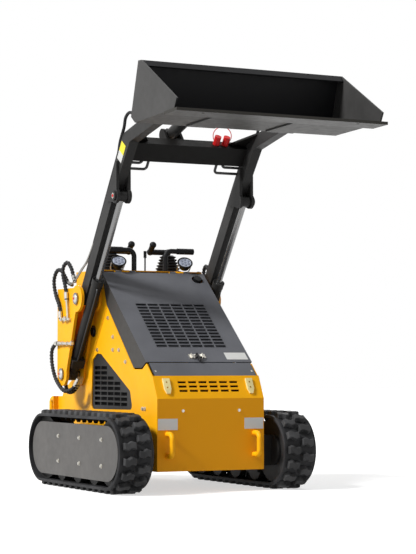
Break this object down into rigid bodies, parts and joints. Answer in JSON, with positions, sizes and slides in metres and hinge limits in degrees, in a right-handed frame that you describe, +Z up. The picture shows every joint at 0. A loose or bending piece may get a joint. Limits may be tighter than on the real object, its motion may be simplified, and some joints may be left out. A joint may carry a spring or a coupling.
{
  "type": "mini skid steer loader",
  "caption": "Small tracked stand-on loader with yellow body, dark hood and raised arms holding a level bucket",
  "frame": {"origin": "middle of the plan box, on the ground under the tracks", "axes": "+Z up, front faces -Y, +X is the machine's left side"},
  "size_m": [1.09, 2.1104, 2.0107],
  "materials": {
    "body_paint": "gloss",
    "hood_paint": "satin",
    "dark_paint": "satin",
    "cover_paint": "satin",
    "pad_plastic": "matte",
    "edge_steel": "satin",
    "bright_steel": "polished",
    "track_rubber": "matte",
    "black_plastic": "matte",
    "boot_rubber": "matte",
    "lens": "clear",
    "coupler_red": "gloss",
    "line_steel": "satin"
  },
  "bodies": {
    "body": {"chassis": "body_paint", "front_panel": "body_paint", "front_strip": "hood_paint", "side_panel_right": "body_paint", "side_panel_left": "body_paint", "side_grille_right": "dark_paint", "side_grille_left": "dark_paint", "tower_right": "body_paint", "tower_left": "body_paint", "rear_panel": "body_paint", "console": "body_paint", "engine": "dark_paint", "filler_cap": "black_plastic", "track_right": "track_rubber", "track_left": "track_rubber", "track_wheels": "dark_paint", "track_frame_right": "dark_paint", "track_frame_left": "dark_paint", "track_covers": "cover_paint", "pivot_pins": "bright_steel", "arm_rest_pads": "pad_plastic", "tie_downs": "body_paint", "platform": "dark_paint", "work_lamps": "black_plastic", "lamp_lenses": "lens", "grab_bars": "black_plastic", "lever_boots": "boot_rubber", "drive_levers": "black_plastic", "tower_hoses": "boot_rubber"},
    "arms": {"arm_right": "dark_paint", "arm_left": "dark_paint", "cross_tube": "dark_paint", "hydraulic_couplers": "coupler_red", "arm_lines": "line_steel"},
    "lift_barrel_right": {"lift_barrel_right": "dark_paint"},
    "lift_barrel_left": {"lift_barrel_left": "dark_paint"},
    "lift_rod_right": {"lift_rod_right": "bright_steel"},
    "lift_rod_left": {"lift_rod_left": "bright_steel"},
    "tilt_barrel": {"tilt_barrel": "dark_paint"},
    "tilt_rod": {"tilt_rod": "bright_steel"},
    "bucket": {"bucket": "dark_paint", "cutting_edge": "edge_steel", "attach_plate": "dark_paint"},
    "hood": {"hood": "hood_paint", "hood_grille": "hood_paint"}
  },
  "joints": [
    {"name": "arm_lift", "type": "hinge", "parent": "body", "child": "arms", "pos_m": [0, 0.423, 0.952], "axis": [-1, 0, 0], "range_deg": [-84, 0]},
    {"name": "bucket_tilt", "type": "hinge", "parent": "arms", "child": "bucket", "pos_m": [0, -0.52, 1.838], "axis": [1, 0, 0], "range_deg": [-100, 38]},
    {"name": "hood_open", "type": "hinge", "parent": "body", "child": "hood", "pos_m": [0, 0.357, 1.091], "axis": [-1, 0, 0], "range_deg": [0, 45]},
    {"name": "tilt_barrel_swing", "type": "hinge", "parent": "arms", "child": "tilt_barrel", "pos_m": [-0.06, 0.021, 1.766], "axis": [-1, 0, 0], "range_deg": [-3.01, 1.15]},
    {"name": "tilt_rod_stroke", "type": "slide", "parent": "tilt_barrel", "child": "tilt_rod", "axis": [0, -0.9536, 0.301], "range_m": [-0.15289, 0.05816]},
    {"name": "lift_barrel_right_swing", "type": "hinge", "parent": "body", "child": "lift_barrel_right", "pos_m": [-0.342, 0.615, 0.566], "axis": [-1, 0, 0], "range_deg": [-54.28, 0.01]},
    {"name": "lift_rod_right_stroke", "type": "slide", "parent": "lift_barrel_right", "child": "lift_rod_right", "axis": [0, -0.5842, 0.8116], "range_m": [-0.35461, 0.0001]},
    {"name": "lift_barrel_left_swing", "type": "hinge", "parent": "body", "child": "lift_barrel_left", "pos_m": [0.342, 0.615, 0.566], "axis": [-1, 0, 0], "range_deg": [-54.28, 0.01]},
    {"name": "lift_rod_left_stroke", "type": "slide", "parent": "lift_barrel_left", "child": "lift_rod_left", "axis": [0, -0.5842, 0.8116], "range_m": [-0.35461, 0.0001]}
  ],
  "couplings": [
    {"joint": "tilt_barrel_swing", "follows": "bucket_tilt", "ratio": 0.03},
    {"joint": "tilt_rod_stroke", "follows": "bucket_tilt", "m_per_rad": 0.087541},
    {"joint": "lift_barrel_right_swing", "follows": "arm_lift", "ratio": 0.64602},
    {"joint": "lift_rod_right_stroke", "follows": "arm_lift", "m_per_rad": 0.24181},
    {"joint": "lift_barrel_left_swing", "follows": "arm_lift", "ratio": 0.64602},
    {"joint": "lift_rod_left_stroke", "follows": "arm_lift", "m_per_rad": 0.24181}
  ]
}
